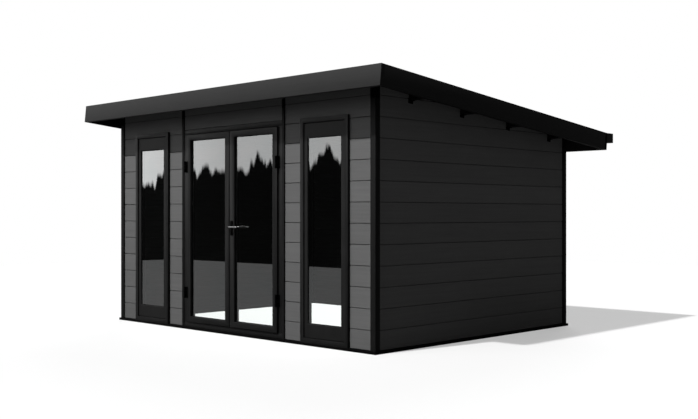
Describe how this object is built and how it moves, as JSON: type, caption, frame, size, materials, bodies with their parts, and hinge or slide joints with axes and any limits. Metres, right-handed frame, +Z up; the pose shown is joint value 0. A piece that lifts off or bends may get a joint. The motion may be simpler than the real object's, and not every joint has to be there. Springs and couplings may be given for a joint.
{
  "type": "garden shed",
  "caption": "Garden shed with grey composite board walls, black glazed double doors, tall fixed windows beside them and a low mono-pitch roof with a rear box gutter.",
  "frame": {"origin": "centre of the bounding box in plan, on the ground under the base rails", "axes": "+X along the front to the right, +Y from the front to the back, +Z up"},
  "size_m": [4.7, 3.8616, 2.505],
  "materials": {
    "rail_black": "matt powder coat, black",
    "post_black": "matt powder coat, black",
    "board_grey": "brushed wood composite board, anthracite grey",
    "frame_black": "satin powder coat, black",
    "glass": "clear float glass",
    "hinge_black": "matt powder coat, black",
    "handle_steel": "satin stainless steel",
    "roof_deck": "dark boarded underside",
    "roof_covering": "matt roofing membrane",
    "fascia_dark": "matt powder coat, dark anthracite",
    "gutter_black": "satin powder coat, black"
  },
  "bodies": {
    "shed": {"base_rail_front": "rail_black", "base_rail_back": "rail_black", "base_rail_left": "rail_black", "base_rail_right": "rail_black", "corner_post_front_left": "post_black", "corner_post_front_right": "post_black", "corner_post_back_left": "post_black", "corner_post_back_right": "post_black", "door_post_left": "post_black", "door_post_right": "post_black", "front_wall_left": "board_grey", "front_wall_right": "board_grey", "front_wall_over_door": "board_grey", "left_wall": "board_grey", "right_wall": "board_grey", "back_wall": "board_grey", "window_frame_left": "frame_black", "window_frame_right": "frame_black", "window_sash_left": "frame_black", "window_sash_right": "frame_black", "window_glass_left": "glass", "window_glass_right": "glass", "door_jamb_left": "frame_black", "door_jamb_right": "frame_black", "door_head": "frame_black", "door_sill": "frame_black", "frame_hinges": "hinge_black", "roof_deck": "roof_deck", "roof_covering": "roof_covering", "front_fascia": "fascia_dark", "back_fascia": "fascia_dark", "left_verge": "fascia_dark", "right_verge": "fascia_dark", "purlins": "post_black", "purlin_brackets": "post_black", "gutter": "gutter_black"},
    "left_door": {"door_leaf_left": "frame_black", "door_glass_left": "glass", "leaf_hinges_left": "hinge_black"},
    "right_door": {"door_leaf_right": "frame_black", "door_glass_right": "glass", "leaf_hinges_right": "hinge_black", "handle_plates": "hinge_black", "lock_cylinder": "handle_steel"},
    "lever": {"door_lever": "handle_steel"}
  },
  "joints": [
    {"name": "left_door_swing", "type": "hinge", "parent": "shed", "child": "left_door", "pos_m": [-0.738, -1.66706, 0.395], "axis": [0, 0, -1], "range_deg": [0, 105]},
    {"name": "right_door_swing", "type": "hinge", "parent": "shed", "child": "right_door", "pos_m": [0.738, -1.66706, 0.395], "axis": [0, 0, 1], "range_deg": [0, 105]},
    {"name": "lever_turn", "type": "hinge", "parent": "right_door", "child": "lever", "pos_m": [0.0395, -1.65106, 1.105], "axis": [0, 1, 0], "range_deg": [0, 40], "stiffness_Nm_per_rad": 1.5, "springref_deg": -20.05}
  ]
}
